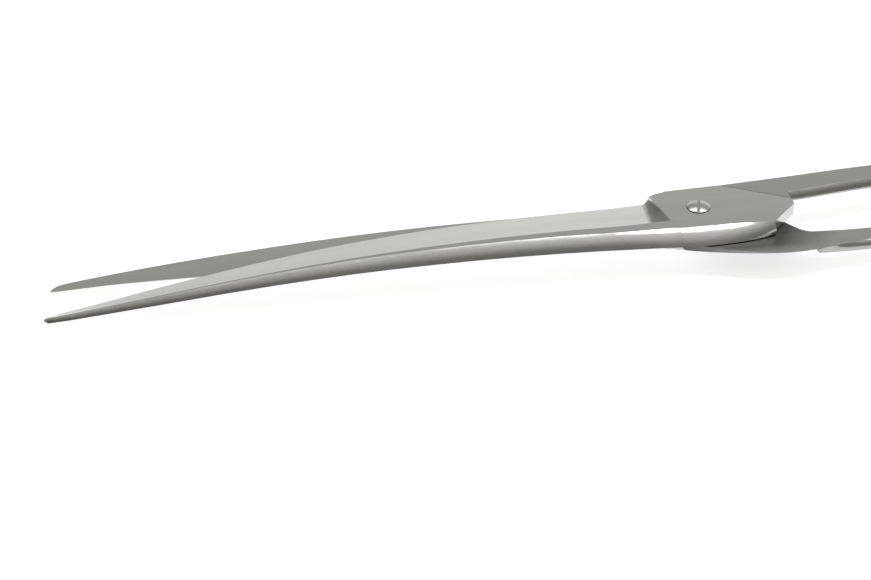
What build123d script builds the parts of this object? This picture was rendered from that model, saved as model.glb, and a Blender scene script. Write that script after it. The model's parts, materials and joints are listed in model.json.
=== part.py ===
"""Long curved scissors: two lapped halves turning on a slotted screw.

The halves are built closed about the pivot, with +X towards the finger rings, +Z up out of the joint and
the two faces that meet lying either side of z = 0. They are opened and set on the frame at the end.
"""
import os
from math import asin, cos, sin, sqrt

from build123d import *

# overall
blade_reach = 103.8      # pivot to tip, along the closed scissors
ring_reach = 131.0       # pivot to the middle of a finger ring
opening_angle = 4.226    # between the blades as stored

# joint
layer_thick = 2.1        # each half where they cross
mating_gap = 0.14        # between the faces that slide over each other
plate_start = 4.5        # pivot to where the blade's section begins
plate_end = 15.13        # pivot to the corner in the crotch
plate_far = 5.6          # pivot to the straight side of the joint
end_cut_x = 10.65        # where the sloping end of the joint meets the spine
end_cut_y = 6.16
crotch_y = 1.76
seam_x = 5.3             # outer end of the seam between blade and handle
seam_inset = 0.58        # seam's inner end to the crotch corner
seam_end_y = 0.2

# screw
shank_radius = 1.55
shank_clearance = 0.05
head_overhang = 0.3
head_sink = 0.7
head_rim = 0.12
head_dome = 0.42
slot_width = 0.46
slot_depth = 0.36
slot_angle = 78.0
peened_height = 0.25

# blades
curve_start = 12.0       # pivot to where the blades begin to bend down
curve_radius = 696.0
tip_start = 94.5
tip_thick = 0.58
root_land = 0.5          # thickness left at the cutting edge, root and tip
tip_land = 0.12
spine_run = 0.95         # width of the rounded spine for each unit of thickness
root_flare = 0.5         # how much wider it is beside the joint, and how far that reaches
flare_reach = 10.0
band_root = 2.1          # flat strip between spine and bevel, root and tip
band_tip = 0.15
hollow_depth = 0.42      # how far the bevel starts below the flat strip at its root
step_top_far = 6.95      # the hollow grinding step at the bevel's root, on the far side and at the strip
step_top_near = 5.15
step_foot_far = 8.05
step_foot_near = 8.9
lower_plate_end = 13.4
root_end = 17.2          # pivot to where the lower shank's root becomes the shank
root_tuck = 2.9          # how far the root's edge is undercut
seam_groove = 0.09
groove_depth = 0.12
shoulder_step = 0.17     # crotch corner to where the far shank's round side begins

# shanks and rings
shank_thick = 2.3
ring_thick = 3.2
ring_inner_long = 15.0
ring_inner_wide = 11.5
ring_band = 3.4
ring_offset = 15.3       # middle of a ring from the centre line when closed
ring_round = 1.3

half_gap = mating_gap / 2
head_radius = shank_radius + head_overhang
shoulder_x = plate_end + shoulder_step
seam_end_x = plate_end - seam_inset
blade_length = blade_reach - plate_start


def sag(x):
    """Drop of the blades below the joint at a distance x left of the pivot."""
    return curve_radius - sqrt(curve_radius**2 - max(x - curve_start, 0)**2)


def slope_at(rows, index, column):
    """Slope of one column of the rows at a row, flat where the column turns back."""
    first = rows[max(index - 1, 0)]
    here = rows[index]
    last = rows[min(index + 1, len(rows) - 1)]
    if first is here or last is here:
        return (last[column] - first[column]) / (last[0] - first[0])
    before = (here[column] - first[column]) / (here[0] - first[0])
    after = (last[column] - here[column]) / (last[0] - here[0])
    if before * after <= 0:
        return 0.0
    return 2 * before * after / (before + after)


def even_rows(rows, count):
    """Rows at even steps from the first to the last, following smooth curves through the given ones."""
    result = []
    for step in range(count + 1):
        x = rows[0][0] + (rows[-1][0] - rows[0][0]) * step / count
        index = max(k for k in range(len(rows) - 1) if rows[k][0] <= x + 1e-9)
        start = rows[index]
        end = rows[index + 1]
        reach = end[0] - start[0]
        t = (x - start[0]) / reach
        values = [x]
        for column in range(1, len(start)):
            rise = end[column] - start[column]
            leave = slope_at(rows, index, column) * reach
            arrive = slope_at(rows, index + 1, column) * reach
            bend = 3 * rise - 2 * leave - arrive
            twist = leave + arrive - 2 * rise
            values.append(start[column] + t * (leave + t * (bend + t * twist)))
        result.append(tuple(values))
    return result


def blade_plane(x):
    tilt = asin(max(x - curve_start, 0) / curve_radius)
    return Plane(origin=(-x, 0, -sag(x)), x_dir=(0, 1, 0), z_dir=(cos(tilt), 0, sin(tilt)))


def blade_section(x, edge, spine, side, nose=1.0):
    """Section with a round spine, a narrow flat, a hollow bevel and a thin land at the cutting edge."""
    part_way = (x - plate_start) / blade_length
    thick = nose * (tip_thick + (layer_thick - tip_thick) * (1 - part_way**1.8))
    land = root_land + (tip_land - root_land) * part_way
    land = min(max(land, half_gap + 0.04), 0.6 * thick)
    hollow = min(0.03 + hollow_depth * (1 - part_way), 0.3 * thick)
    flare = root_flare * max(0, 1 - (x - plate_start) / flare_reach)
    run = min(spine_run * thick + flare, 0.55 * (edge + spine))
    band = min(band_tip + (band_root - band_tip) * (1 - part_way)**2, 0.5 * (edge + spine - run))
    corner = (side * (run - spine), side * thick)
    with BuildSketch(blade_plane(x)) as section:
        with BuildLine():
            ThreePointArc(
                (-side * spine, side * half_gap),
                (side * (0.40 * run - spine), side * (half_gap + 0.635 * (thick - half_gap))),
                corner,
            )
            Polyline(
                corner,
                (corner[0] + side * band, corner[1]),
                (corner[0] + side * (band + 0.4 * hollow), corner[1] - side * hollow),
                (side * edge, side * land),
                (side * edge, side * half_gap),
                (-side * spine, side * half_gap),
            )
        make_face()
    return section


def spine_section(x, foot, top, side):
    """Section of the round spine beside the joint; x is positive towards the rings."""
    with BuildSketch(Plane(origin=(x, 0, 0), x_dir=(0, 1, 0), z_dir=(1, 0, 0))) as section:
        with BuildLine():
            ThreePointArc(
                (-side * foot, side * half_gap),
                (side * (0.40 * (foot - top) - foot), side * (half_gap + 0.635 * (layer_thick - half_gap))),
                (-side * top, side * layer_thick),
            )
            Polyline(
                (-side * top, side * layer_thick),
                (-side * 1.0, side * layer_thick),
                (-side * 1.0, side * half_gap),
                (-side * foot, side * half_gap),
            )
        make_face()
    return section


# distance from the pivot, then cutting edge and spine either side of the centre line
upper_blade_stations = [
    (plate_start, 5.2, 7.9),
    (curve_start, 4.65, 7.08),
    (25.0, 4.97, 5.82),
    (40.0, 5.19, 4.66),
    (55.0, 4.77, 3.74),
    (70.0, 3.63, 3.18),
    (85.0, 2.03, 2.80),
    (tip_start, 0.98, 2.30),
]
upper_tip_stations = [
    (tip_start, 0.98, 2.30),
    (99.5, 0.60, 1.95),
    (blade_reach - 1.5, 0.36, 1.62),
    (blade_reach - 0.5, 0.22, 1.42),
    (blade_reach, 0.06, 1.00),
]
lower_blade_stations = [
    (plate_start, 5.2, 5.10),
    (curve_start, 4.65, 4.20),
    (25.0, 4.97, 3.72),
    (40.0, 5.19, 3.68),
    (55.0, 4.77, 3.45),
    (70.0, 3.63, 2.98),
    (85.0, 2.03, 2.43),
    (tip_start, 0.98, 1.97),
]
lower_tip_stations = [
    (tip_start, 0.98, 1.97),
    (100.0, 0.58, 1.66),
    (blade_reach - 1.6, 0.40, 1.42),
    (blade_reach - 0.8, 0.28, 1.16),
    (blade_reach, 0.08, 0.40),
]
# beside the joint: place along the tool, foot and top of the round spine from the centre line
upper_spine_stations = [
    (-plate_start, 7.9, 5.40),
    (-1.0, 8.15, 5.52),
    (4.0, 8.10, 5.76),
    (end_cut_x, 6.95, end_cut_y),
]
lower_spine_stations = [
    (-plate_start, 5.10, 2.79),
    (-1.0, 5.50, 3.20),
    (4.0, 6.00, 3.80),
    (end_cut_x, 6.60, 5.00),
]


def step_profile(place, top, foot, floor, side):
    """Hollow grinding step between the joint's flat top and the bevel, across the blade at a place."""
    with BuildSketch(Plane(origin=(0, side * place, 0), x_dir=(1, 0, 0), z_dir=(0, -1, 0))) as section:
        with BuildLine():
            ThreePointArc(
                (-top, side * layer_thick),
                (-top - 0.36 * (foot - top), side * (floor + 0.36 * (layer_thick - floor))),
                (-foot, side * floor),
            )
            Polyline(
                (-foot, side * floor),
                (-foot, side * 0.2),
                (-plate_start, side * 0.2),
                (-plate_start, side * layer_thick),
                (-top, side * layer_thick),
            )
        make_face()
    return section


def blade_and_joint(side, blade_rows, tip_rows, spine_rows, corner_x):
    """One half's blade and joint plate: side 1 lies above the mating plane, side -1 below it."""
    blades = [blade_section(*row, side) for row in even_rows(blade_rows, 18)]
    tips = [blade_section(*row, side, 0.6 if row is tip_rows[-1] else 1.0) for row in tip_rows]
    spines = [spine_section(x, foot, top, side) for x, foot, top in spine_rows]
    base = half_gap if side > 0 else -layer_thick
    with BuildPart() as body:
        loft([section.sketch for section in blades])
        loft([section.sketch for section in tips], ruled=True)
        loft([section.sketch for section in spines])
        with BuildSketch(Plane.XY.offset(base)):
            with BuildLine():
                Polyline(
                    (-plate_start, -side * 1.0),
                    (-plate_start, side * 5.35),
                    (-4.2, side * (plate_far - 0.02)),
                    (0.2, side * (plate_far + 0.08)),
                    (seam_x, side * (plate_far + 0.14)),
                    (corner_x, side * plate_far),
                    (corner_x, -side * crotch_y),
                    (end_cut_x, -side * end_cut_y),
                    (end_cut_x, -side * 1.0),
                    close=True,
                )
            make_face()
        extrude(amount=layer_thick - half_gap)
        far_step = step_profile(4.55, step_top_far, step_foot_far, root_land, side)
        near_step = step_profile(-3.2, step_top_near, step_foot_near, layer_thick - 0.85 * hollow_depth, side)
        loft([far_step.sketch, near_step.sketch])
        with BuildSketch(Plane.XY.offset(0.3 if side > 0 else -layer_thick)):
            with BuildLine():
                Polyline(
                    (-step_top_far + 0.05, side * 4.5),
                    (-plate_start - 1.3, side * 5.12),
                    (-plate_start + 0.2, side * 5.36),
                    (-plate_start + 0.2, side * 4.0),
                    close=True,
                )
            make_face()
        extrude(amount=layer_thick - 0.3)
    return body


def shank_section(x, inner, outer, top, bottom, lean, outer_lean, tuck, side):
    """Flat top with flanks that lean out below it and are tucked under to a narrower flat."""
    wide = outer - inner
    high = top - bottom
    with BuildSketch(Plane(origin=(x, 0, 0), x_dir=(0, 1, 0), z_dir=(1, 0, 0))) as section:
        with BuildLine():
            ThreePointArc(
                (side * inner, top),
                (side * (inner - 0.66 * lean), top - 0.23 * high),
                (side * (inner - lean), top - 0.5 * high),
            )
            ThreePointArc(
                (side * (inner - lean), top - 0.5 * high),
                (side * (inner + 0.05 * wide - 0.6 * lean), bottom + 0.2 * high),
                (side * (inner + 0.26 * wide), bottom),
            )
            Line((side * (inner + 0.26 * wide), bottom), (side * (outer - tuck * wide), bottom))
            ThreePointArc(
                (side * (outer - tuck * wide), bottom),
                (side * (outer - 0.3 * tuck * wide + 0.5 * outer_lean), bottom + 0.28 * high),
                (side * (outer + outer_lean), top - 0.5 * high),
            )
            ThreePointArc(
                (side * (outer + outer_lean), top - 0.5 * high),
                (side * (outer + 0.72 * outer_lean), top - 0.16 * high),
                (side * outer, top),
            )
            Line((side * outer, top), (side * inner, top))
        make_face()
    return section


def finger_ring(side):
    with BuildPart() as ring:
        with BuildSketch(Plane.XY.offset(-ring_thick / 2)):
            with Locations((ring_reach, side * ring_offset)):
                Ellipse(ring_inner_long + ring_band, ring_inner_wide + ring_band)
                Ellipse(ring_inner_long, ring_inner_wide, mode=Mode.SUBTRACT)
        extrude(amount=ring_thick)
        fillet(ring.edges(), ring_round)
    return ring


# place along the tool, inner and outer edge of the flat top, its height, the underside, both leans and tuck
# upper half: its shank leaves on the far side, level with the top of the joint
upper_stations = [
    (shoulder_x, 2.00, 6.27, layer_thick, layer_thick - shank_thick, 0.85, 0.20, 0.25),
    (shoulder_x + 2.2, 2.20, 6.40, layer_thick, layer_thick - shank_thick, 0.90, 0.20, 0.25),
    (shoulder_x + 9.0, 2.95, 6.85, layer_thick, layer_thick - shank_thick, 0.90, 0.25, 0.25),
    (shoulder_x + 15.7, 3.60, 7.20, layer_thick, layer_thick - shank_thick, 0.85, 0.30, 0.25),
    (60.0, 4.90, 8.10, layer_thick - 0.2, -1.0, 0.60, 0.40, 0.25),
    (ring_reach - 36.0, 5.10, 8.30, 1.6, -1.5, 0.30, 0.30, 0.25),
    (ring_reach - 14.0, ring_offset - 8.9, ring_offset - 6.1, 1.5, -1.5, 0.10, 0.10, 0.20),
]
# lower half: its shank comes level with the other one
lower_stations = [
    (root_end, 5.80, 10.60, -half_gap, -2.0, 0.08, -0.20, 0.40),
    (root_end + 4.3, 5.95, 9.75, -half_gap, -2.3, 0.10, 0.40, 0.30),
    (root_end + 9.8, 5.62, 8.30, -half_gap, -2.8, 0.20, 0.95, 0.24),
    (38.0, 5.20, 7.80, 0.2, -2.8, 0.30, 0.95, 0.22),
    (60.0, 4.90, 7.85, 0.9, -2.3, 0.40, 0.70, 0.22),
    (ring_reach - 39.0, 5.10, 8.20, 1.5, -1.7, 0.30, 0.40, 0.25),
    (ring_reach - 14.0, ring_offset - 8.9, ring_offset - 6.1, 1.5, -1.5, 0.10, 0.10, 0.20),
]
root_top = -half_gap - 0.02
root_floor = 0.1 - layer_thick
# outline of the lower half's flared root: the bulge outside and the curve of the crotch inside
root_bulge = [(-5.6, 4.6), (-3.7, 6.3), (-1.5, 7.6), (4.3, 9.75), (9.6, 11.1), (13.5, 11.2), (root_end, 10.60)]
root_crotch = [(root_end, 5.80), (15.4, 5.05), (14.2, 3.75), (lower_plate_end - 0.2, 2.5)]


def root_outline(height, tuck):
    """Plan of the lower shank's root at a height; tuck draws its outer edge inwards."""
    bulge = [(x, -y + tuck * (y - 5.0) / 6.4) for x, y in root_bulge]
    crotch = [(x, -y) for x, y in root_crotch]
    with BuildSketch(Plane.XY.offset(height)) as outline:
        with BuildLine():
            Spline(*bulge)
            Line(bulge[-1], crotch[0])
            Spline(*crotch)
            Polyline(crotch[-1], (lower_plate_end - 2.0, -2.5), (-5.6, -2.5), bulge[0])
        make_face()
    return outline


with BuildPart() as upper_half:
    add(blade_and_joint(1, upper_blade_stations, upper_tip_stations, upper_spine_stations, plate_end).part)
    with BuildSketch(Plane.XY.offset(half_gap)):
        with BuildLine():
            Polyline(
                (seam_x, 4.0),
                (seam_x, plate_far + 0.14),
                (shoulder_x, 6.27),
                (shoulder_x, 2.0),
                (plate_end, 1.60),
                (plate_end, 0.0),
                (seam_x, 0.0),
                close=True,
            )
        make_face()
    extrude(amount=layer_thick - half_gap)
    loft([shank_section(*station, 1).sketch for station in even_rows(upper_stations, 16)])
    add(finger_ring(1).part)

with BuildPart() as lower_half:
    add(blade_and_joint(-1, lower_blade_stations, lower_tip_stations, lower_spine_stations, lower_plate_end).part)
    loft([root_outline(root_floor, root_tuck).sketch, root_outline(root_top, 0.0).sketch], ruled=True)
    loft([shank_section(*station, -1).sketch for station in even_rows(lower_stations, 16)])
    add(finger_ring(-1).part)


upper_seam = [(seam_x, plate_far + 0.14), (seam_end_x, seam_end_y), (plate_end, -0.6)]
lower_seam = [(-plate_start - 4, 5.95), (seam_x - 3.1, 5.95), (lower_plate_end - 3, 1.0), (lower_plate_end, -0.5)]


def cut_along_seam(half, side, seam, keep_blade):
    """Part of a half on one side of the seam between its blade and its handle."""
    reach = 400.0
    first = seam[0]
    last = seam[-1]
    with BuildPart() as piece:
        add(half.part)
        with BuildSketch(Plane.XY.offset(-reach / 2)):
            with BuildLine():
                Polyline(
                    (first[0], side * reach),
                    *[(x, side * y) for x, y in seam],
                    (last[0] + 0.01, -side * reach),
                    (reach, -side * reach),
                    (reach, side * reach),
                    close=True,
                )
            make_face()
        extrude(amount=reach, mode=Mode.SUBTRACT if keep_blade else Mode.INTERSECT)
    return piece


with BuildPart() as upper_blade_closed:
    add(cut_along_seam(upper_half, 1, upper_seam, True).part)
    Cylinder(shank_radius + shank_clearance, 4 * layer_thick, mode=Mode.SUBTRACT)
    with Locations((0, 0, layer_thick)):
        Cylinder(head_radius + shank_clearance, 2 * head_sink, mode=Mode.SUBTRACT)
    # fine groove along the seam
    with BuildSketch(Plane.XY.offset(layer_thick - groove_depth)):
        with BuildLine():
            Polyline(
                (seam_x - 0.35, plate_far + 0.3),
                (seam_x, plate_far + 0.14),
                (seam_end_x, seam_end_y),
                (seam_end_x - 0.04, seam_end_y - seam_groove),
                (seam_x - 0.05, plate_far + 0.14 - seam_groove),
                close=True,
            )
        make_face()
    extrude(amount=2 * groove_depth, mode=Mode.SUBTRACT)

with BuildPart() as lower_blade_closed:
    add(cut_along_seam(lower_half, -1, lower_seam, True).part)
    Cylinder(shank_radius, 4 * layer_thick, mode=Mode.SUBTRACT)

with BuildPart() as pivot_screw_set:
    head_floor = layer_thick - head_sink + shank_clearance
    head_top = layer_thick + head_rim
    with BuildSketch(Plane.XZ):
        with BuildLine():
            Polyline(
                (0, -layer_thick - peened_height),
                (shank_radius - 0.4, -layer_thick - peened_height),
                (shank_radius, -layer_thick),
                (shank_radius, head_floor),
                (head_radius, head_floor),
                (head_radius, head_top),
            )
            ThreePointArc(
                (head_radius, head_top),
                (head_radius * 0.55, head_top + 0.78 * head_dome),
                (0, head_top + head_dome),
            )
            Line((0, head_top + head_dome), (0, -layer_thick - peened_height))
        make_face()
    revolve(axis=Axis.Z)
    with Locations(Location((0, 0, head_top + head_dome), (0, 0, slot_angle))):
        Box(4 * head_radius, slot_width, 2 * slot_depth, mode=Mode.SUBTRACT)

closed = {
    "upper_blade": (upper_blade_closed.part, opening_angle / 2),
    "upper_handle": (cut_along_seam(upper_half, 1, upper_seam, False).part, opening_angle / 2),
    "lower_blade": (lower_blade_closed.part, -opening_angle / 2),
    "lower_handle": (cut_along_seam(lower_half, -1, lower_seam, False).part, -opening_angle / 2),
    "pivot_screw": (pivot_screw_set.part, -opening_angle / 2),
}

# open the scissors about the pivot
opened = {}
for node, (shape, angle) in closed.items():
    with BuildPart() as piece:
        add(shape, rotation=(0, 0, angle))
    opened[node] = piece

# the frame's origin is the middle of the whole box, at its lowest level
boxes = [piece.part.bounding_box() for piece in opened.values()]
low_x = min(box.min.X for box in boxes)
high_x = max(box.max.X for box in boxes)
low_y = min(box.min.Y for box in boxes)
high_y = max(box.max.Y for box in boxes)
low_z = min(box.min.Z for box in boxes)
pivot = (-(low_x + high_x) / 2, -(low_y + high_y) / 2, -low_z)
print("pivot at", [round(v, 4) for v in pivot])

os.makedirs("parts", exist_ok=True)
for node, piece in opened.items():
    with BuildPart() as placed:
        with Locations(pivot):
            add(piece.part)
    placed.part.label = node
    print(node, len(placed.part.solids()), round(placed.part.volume, 2), placed.part.is_valid)
    export_step(placed.part, f"parts/{node}.step")
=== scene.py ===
import json
import math

import bmesh
import bpy
from mathutils import Matrix, Vector

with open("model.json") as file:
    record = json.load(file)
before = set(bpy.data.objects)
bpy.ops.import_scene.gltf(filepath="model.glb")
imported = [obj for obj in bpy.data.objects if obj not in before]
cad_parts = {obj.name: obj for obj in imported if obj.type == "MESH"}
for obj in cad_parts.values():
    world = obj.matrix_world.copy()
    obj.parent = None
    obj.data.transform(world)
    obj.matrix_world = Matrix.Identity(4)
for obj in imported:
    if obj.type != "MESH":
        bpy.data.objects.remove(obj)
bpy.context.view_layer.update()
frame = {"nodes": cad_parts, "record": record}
pivotPoint = Vector(frame["record"]["behaviour"]["joints"][0]["pos_m"])
halfOpening = 2.113      # degrees each half is turned from closed
unitsPerMetre = 1000     # materials are set out in millimetres
noiseSpan = (0.3, 0.7)   # where the noise's values mostly lie
print("frame loaded, pivot at", [round(v, 5) for v in pivotPoint])


def newMaterial(name):
    material = bpy.data.materials.new(name)
    material.use_nodes = True
    nodes = material.node_tree.nodes
    nodes.clear()
    output = nodes.new("ShaderNodeOutputMaterial")
    shader = nodes.new("ShaderNodeBsdfPrincipled")
    material.node_tree.links.new(shader.outputs["BSDF"], output.inputs["Surface"])
    return material, nodes, material.node_tree.links, shader


def addNode(nodes, kind, **values):
    node = nodes.new(kind)
    for key, value in values.items():
        setattr(node, key, value)
    return node


def mathNode(nodes, links, operation, first, second, clamp=False):
    node = addNode(nodes, "ShaderNodeMath", operation=operation, use_clamp=clamp)
    for socket, value in zip(node.inputs, (first, second)):
        if isinstance(value, (int, float)):
            socket.default_value = value
        else:
            links.new(value, socket)
    return node.outputs[0]


def mapRange(nodes, links, value, fromMin, fromMax, toMin, toMax):
    node = nodes.new("ShaderNodeMapRange")
    links.new(value, node.inputs["Value"])
    node.inputs["From Min"].default_value = fromMin
    node.inputs["From Max"].default_value = fromMax
    node.inputs["To Min"].default_value = toMin
    node.inputs["To Max"].default_value = toMax
    return node.outputs["Result"]


grind = {
    "lineDetail": 3.0,
    "lineRoughness": 0.6,
    "patchDetail": 4.0,
    "bumpDepth": 0.00002,    # metres
}


# fine grinding lines that run along one direction, with a soft patchiness under them
def makeGrindGroup():
    group = bpy.data.node_groups.new("grindLines", "ShaderNodeTree")
    group.interface.new_socket("Vector", in_out="INPUT", socket_type="NodeSocketVector")
    group.interface.new_socket("Lines", in_out="INPUT", socket_type="NodeSocketFloat")
    group.interface.new_socket("Patches", in_out="INPUT", socket_type="NodeSocketFloat")
    group.interface.new_socket("Line", in_out="OUTPUT", socket_type="NodeSocketFloat")
    group.interface.new_socket("Patch", in_out="OUTPUT", socket_type="NodeSocketFloat")
    nodes, links = group.nodes, group.links
    source = nodes.new("NodeGroupInput")
    result = nodes.new("NodeGroupOutput")
    lines = addNode(nodes, "ShaderNodeTexNoise", noise_dimensions="3D")
    lines.inputs["Detail"].default_value = grind["lineDetail"]
    lines.inputs["Roughness"].default_value = grind["lineRoughness"]
    patches = addNode(nodes, "ShaderNodeTexNoise", noise_dimensions="3D")
    patches.inputs["Detail"].default_value = grind["patchDetail"]
    links.new(source.outputs["Vector"], lines.inputs["Vector"])
    links.new(source.outputs["Lines"], lines.inputs["Scale"])
    links.new(source.outputs["Vector"], patches.inputs["Vector"])
    links.new(source.outputs["Patches"], patches.inputs["Scale"])
    links.new(lines.outputs["Fac"], result.inputs["Line"])
    links.new(patches.outputs["Fac"], result.inputs["Patch"])
    return group


grindGroup = makeGrindGroup()

steels = {
    "blade_steel": {
        "color": (0.60, 0.61, 0.585),
        "roughness": 0.22,
        "roughnessSwing": 0.04,
        "grainTurn": 84.0,       # degrees from the length of the tool
        "lineStretch": 0.06,
        "lines": 5.5,            # per millimetre
        "patches": 0.35,
        "bumpStrength": 0.03,
        "tint": 0.05,
    },
    "handle_steel": {
        "color": (0.43, 0.44, 0.42),
        "roughness": 0.31,
        "roughnessSwing": 0.05,
        "grainTurn": 6.0,
        "lineStretch": 0.08,
        "lines": 4.5,
        "patches": 0.3,
        "bumpStrength": 0.03,
        "tint": 0.05,
    },
    "screw_steel": {
        "color": (0.46, 0.47, 0.45),
        "roughness": 0.28,
        "roughnessSwing": 0.08,
        "grainTurn": 35.0,
        "lineStretch": 0.2,
        "lines": 6.0,
        "patches": 0.8,
        "bumpStrength": 0.06,
        "tint": 0.04,
    },
}


def makeSteel(name, spec):
    material, nodes, links, shader = newMaterial(name)
    where = nodes.new("ShaderNodeTexCoord")
    turn = nodes.new("ShaderNodeMapping")
    turn.inputs["Rotation"].default_value = (0, 0, math.radians(spec["grainTurn"]))
    turn.inputs["Scale"].default_value = (unitsPerMetre * spec["lineStretch"], unitsPerMetre, unitsPerMetre)
    links.new(where.outputs["Object"], turn.inputs["Vector"])
    ground = addNode(nodes, "ShaderNodeGroup", node_tree=grindGroup)
    links.new(turn.outputs["Vector"], ground.inputs["Vector"])
    ground.inputs["Lines"].default_value = spec["lines"]
    ground.inputs["Patches"].default_value = spec["patches"]

    blend = addNode(nodes, "ShaderNodeMix", data_type="RGBA")
    dark = [c * (1 - spec["tint"]) for c in spec["color"]]
    light = [min(1, c * (1 + spec["tint"])) for c in spec["color"]]
    blend.inputs[6].default_value = (*dark, 1)
    blend.inputs[7].default_value = (*light, 1)
    links.new(mapRange(nodes, links, ground.outputs["Patch"], *noiseSpan, 0, 1), blend.inputs[0])
    links.new(blend.outputs[2], shader.inputs["Base Color"])

    low = spec["roughness"] - spec["roughnessSwing"] / 2
    high = spec["roughness"] + spec["roughnessSwing"] / 2
    roughness = mapRange(nodes, links, ground.outputs["Line"], *noiseSpan, low, high)
    links.new(roughness, shader.inputs["Roughness"])
    bump = nodes.new("ShaderNodeBump")
    bump.inputs["Strength"].default_value = spec["bumpStrength"]
    bump.inputs["Distance"].default_value = grind["bumpDepth"]
    links.new(ground.outputs["Line"], bump.inputs["Height"])
    links.new(bump.outputs["Normal"], shader.inputs["Normal"])
    shader.inputs["Metallic"].default_value = 1.0
    return material


# darker, rougher patches: on lower_handle and lower_blade the darkening is painted shade from the joint and
# the upper blade's spine, on upper_blade a darker, rougher strip along the grinding step. Each edge is (a, b,
# c, softness), with a*x + b*y + c above 0 inside, in millimetres along and across one closed half from the
# pivot
patchWarmth = (1.0, 0.98, 0.96)
darkAndPaintedShadePatches = {
    "upper_blade": {
        "halfTurn": halfOpening,
        "edges": [
            (1.0, -0.1097, 8.45, 0.7),      # foot of the grinding step
            (-1.0, -0.2323, -5.95, 0.12),   # its top
            (0.0, 1.0, 3.0, 0.15),          # the strip beside the spine
        ],
        "shade": 0.42,
        "roughness": 0.36,
    },
    # rougher steel whose darkening is painted shade under the upper blade's spine
    "lower_handle": {
        "halfTurn": -halfOpening,
        "edges": [
            (1.0, 0.0, 9.0, 1.0),           # the root's end under the blade
            (-1.0, 0.6, 25.0, 9.0),         # fades out along the shank
            (-0.05, 1.0, 11.9, 2.6),        # and towards the rim
        ],
        "shade": 0.30,
        "roughness": 0.36,
    },
    # rougher steel whose darkening is painted shade from the joint at the crotch
    "lower_blade": {
        "halfTurn": -halfOpening,
        "edges": [
            (1.0, 0.0, 1.0, 2.0),           # from beside the screw towards the crotch
        ],
        "shade": 0.45,
        "roughness": 0.36,
    },
}


# darkens and roughens a patch of steel: painted shade on lower_handle and lower_blade, a darker strip on
# upper_blade
def addDarkOrPaintedShadePatch(material, patch):
    nodes, links = material.node_tree.nodes, material.node_tree.links
    shader = next(node for node in nodes if node.type == "BSDF_PRINCIPLED")
    where = nodes.new("ShaderNodeTexCoord")
    turn = addNode(nodes, "ShaderNodeMapping", vector_type="TEXTURE")
    turn.inputs["Location"].default_value = pivotPoint
    turn.inputs["Rotation"].default_value = (0, 0, math.radians(patch["halfTurn"]))
    turn.inputs["Scale"].default_value = (1 / unitsPerMetre,) * 3
    links.new(where.outputs["Object"], turn.inputs["Vector"])
    split = nodes.new("ShaderNodeSeparateXYZ")
    links.new(turn.outputs["Vector"], split.inputs["Vector"])
    inside = None
    for a, b, c, softness in patch["edges"]:
        along = mathNode(nodes, links, "MULTIPLY", split.outputs["X"], a)
        across = mathNode(nodes, links, "MULTIPLY", split.outputs["Y"], b)
        level = mathNode(nodes, links, "ADD", mathNode(nodes, links, "ADD", along, across), c)
        part = mathNode(nodes, links, "DIVIDE", level, softness, clamp=True)
        inside = part if inside is None else mathNode(nodes, links, "MULTIPLY", inside, part)
    # multiplies the base colour by the patch's shade, which is painted shade on the lower pieces
    shaded = addNode(nodes, "ShaderNodeMix", data_type="RGBA", blend_type="MULTIPLY")
    links.new(inside, shaded.inputs[0])
    links.new(shader.inputs["Base Color"].links[0].from_socket, shaded.inputs[6])
    shaded.inputs[7].default_value = (*[patch["shade"] * part for part in patchWarmth], 1)
    links.new(shaded.outputs[2], shader.inputs["Base Color"])
    rougher = nodes.new("ShaderNodeMix")
    links.new(inside, rougher.inputs[0])
    links.new(shader.inputs["Roughness"].links[0].from_socket, rougher.inputs[2])
    rougher.inputs[3].default_value = patch["roughness"]
    links.new(rougher.outputs[0], shader.inputs["Roughness"])


for entry in frame["record"]["subparts"]:
    piece = frame["nodes"][entry["node"]]
    slot = entry["material_slot"]
    material = makeSteel(slot if slot == "screw_steel" else f"{slot}_{entry['node']}", steels[slot])
    if entry["node"] in darkAndPaintedShadePatches:
        addDarkOrPaintedShadePatch(material, darkAndPaintedShadePatches[entry["node"]])
    piece.data.materials.clear()
    piece.data.materials.append(material)
print("steel finishes set on", len(frame["nodes"]), "pieces")


table = {
    "tipAt": (-0.1030, 0.0, -0.00652),     # from the pivot: under the tips
    "ringAt": (0.1462, 0.0, -0.00160),     # and under the far side of the rings
    "size": 6.0,
    "color": (0.55, 0.55, 0.55),
    "glow": 0.74,
    "roughness": 0.35,
}


def makeTable():
    tip = pivotPoint + Vector(table["tipAt"])
    ring = pivotPoint + Vector(table["ringAt"])
    lean = math.atan2(ring.z - tip.z, ring.x - tip.x)
    shape = bmesh.new()
    bmesh.ops.create_grid(shape, x_segments=1, y_segments=1, size=table["size"] / 2)
    bmesh.ops.rotate(shape, verts=shape.verts, cent=(0, 0, 0), matrix=Matrix.Rotation(-lean, 3, "Y"))
    bmesh.ops.translate(shape, verts=shape.verts, vec=tip)
    mesh = bpy.data.meshes.new("table")
    shape.to_mesh(mesh)
    shape.free()
    floor = bpy.data.objects.new("table", mesh)
    bpy.context.scene.collection.objects.link(floor)
    material, nodes, links, shader = newMaterial("paleTable")
    shader.inputs["Base Color"].default_value = (*table["color"], 1)
    shader.inputs["Roughness"].default_value = table["roughness"]
    shader.inputs["Emission Color"].default_value = (1, 1, 1, 1)
    shader.inputs["Emission Strength"].default_value = table["glow"]
    mesh.materials.append(material)


makeTable()

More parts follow.
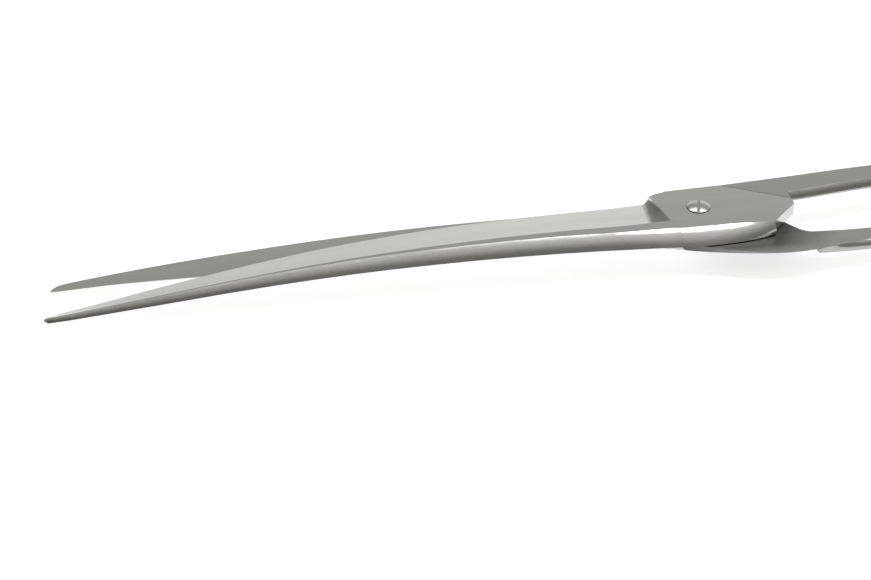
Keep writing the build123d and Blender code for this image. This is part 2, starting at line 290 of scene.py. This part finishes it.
# brightness of the room from straight down (0) to straight up (1): behind the tool, and on the near side
room = {
    "behind": [
        (0.0, 0.95), (0.5, 1.00), (0.60, 1.05), (0.655, 0.98), (0.72, 0.62),
        (0.765, 0.46), (0.86, 0.42), (0.92, 0.60), (1.0, 0.80),
    ],
    "near": [
        (0.0, 0.45), (0.44, 0.30), (0.5, 0.17), (0.62, 0.22),
        (0.75, 0.29), (0.854, 0.46), (0.933, 0.66), (1.0, 0.80),
    ],
    "behindTint": (1.0, 0.995, 0.975),
    "nearTint": (1.0, 0.955, 0.94),
    "blend": (-0.25, 0.25),
    "behindFall": (-0.9, 0.15, 0.42, 1.0),   # from and to along the tool, and the light left at each
    "nearFall": (-0.7, 0.15, 0.22, 1.0),
}


def levelRamp(nodes, links, height, levels, tint):
    ramp = nodes.new("ShaderNodeValToRGB")
    ramp.color_ramp.interpolation = "EASE"
    stops = ramp.color_ramp.elements
    while len(stops) < len(levels):
        stops.new(0.5)
    for stop, (place, level) in zip(stops, levels):
        stop.position = place
        stop.color = (*[level * part for part in tint], 1)
    links.new(height, ramp.inputs["Fac"])
    return ramp.outputs["Color"]


def makeRoom():
    world = bpy.data.worlds.new("studio")
    bpy.context.scene.world = world
    world.use_nodes = True
    nodes, links = world.node_tree.nodes, world.node_tree.links
    nodes.clear()
    output = nodes.new("ShaderNodeOutputWorld")
    background = nodes.new("ShaderNodeBackground")
    where = nodes.new("ShaderNodeTexCoord")
    split = nodes.new("ShaderNodeSeparateXYZ")
    links.new(where.outputs["Generated"], split.inputs["Vector"])
    height = mapRange(nodes, links, split.outputs["Z"], -1, 1, 0, 1)
    side = mapRange(nodes, links, split.outputs["Y"], *room["blend"], 0, 1)
    blend = addNode(nodes, "ShaderNodeMix", data_type="RGBA")
    links.new(side, blend.inputs[0])
    links.new(levelRamp(nodes, links, height, room["near"], room["nearTint"]), blend.inputs[6])
    links.new(levelRamp(nodes, links, height, room["behind"], room["behindTint"]), blend.inputs[7])
    links.new(blend.outputs[2], background.inputs["Color"])
    fall = nodes.new("ShaderNodeMix")
    links.new(side, fall.inputs[0])
    links.new(mapRange(nodes, links, split.outputs["X"], *room["nearFall"]), fall.inputs[2])
    links.new(mapRange(nodes, links, split.outputs["X"], *room["behindFall"]), fall.inputs[3])
    links.new(fall.outputs[0], background.inputs["Strength"])
    links.new(background.outputs["Background"], output.inputs["Surface"])


makeRoom()

# soft lights: place and aim from the pivot in metres, size in metres
softLights = {
    "overhead": {"place": (0.06, 0.16, 0.60), "aim": (0.0, 0, 0), "size": (0.80, 0.11), "power": 1.7},
}


def makeLights():
    for name, spec in softLights.items():
        data = bpy.data.lights.new(name, "AREA")
        data.shape = "RECTANGLE"
        data.size, data.size_y = spec["size"]
        data.energy = spec["power"]
        lamp = bpy.data.objects.new(name, data)
        bpy.context.scene.collection.objects.link(lamp)
        lamp.location = pivotPoint + Vector(spec["place"])
        toward = Vector(spec["aim"]) - Vector(spec["place"])
        lamp.rotation_euler = toward.to_track_quat("-Z", "Y").to_euler()


makeLights()
print("table, room and lights set")

camera = {
    "eye": (-0.05714, -0.19789, 0.12931),   # from the pivot
    "aim": (-0.04363, -0.01665, 0.00210),
    "roll": 2.47,                            # degrees, right side down
    "lens": 62.0,
    "sensor": 36.0,
    "clip": (0.01, 50),
}


def makeCamera():
    data = bpy.data.cameras.new("camera")
    data.lens = camera["lens"]
    data.sensor_width = camera["sensor"]
    data.clip_start, data.clip_end = camera["clip"]
    holder = bpy.data.objects.new("camera", data)
    bpy.context.scene.collection.objects.link(holder)
    toward = Vector(camera["aim"]) - Vector(camera["eye"])
    roll = Matrix.Rotation(-math.radians(camera["roll"]), 3, "Z").to_quaternion()
    turn = toward.to_track_quat("-Z", "Y") @ roll
    holder.location = pivotPoint + Vector(camera["eye"])
    holder.rotation_euler = turn.to_euler()
    bpy.context.scene.camera = holder


makeCamera()
bpy.context.scene.view_settings.view_transform = "Standard"
print("camera set")
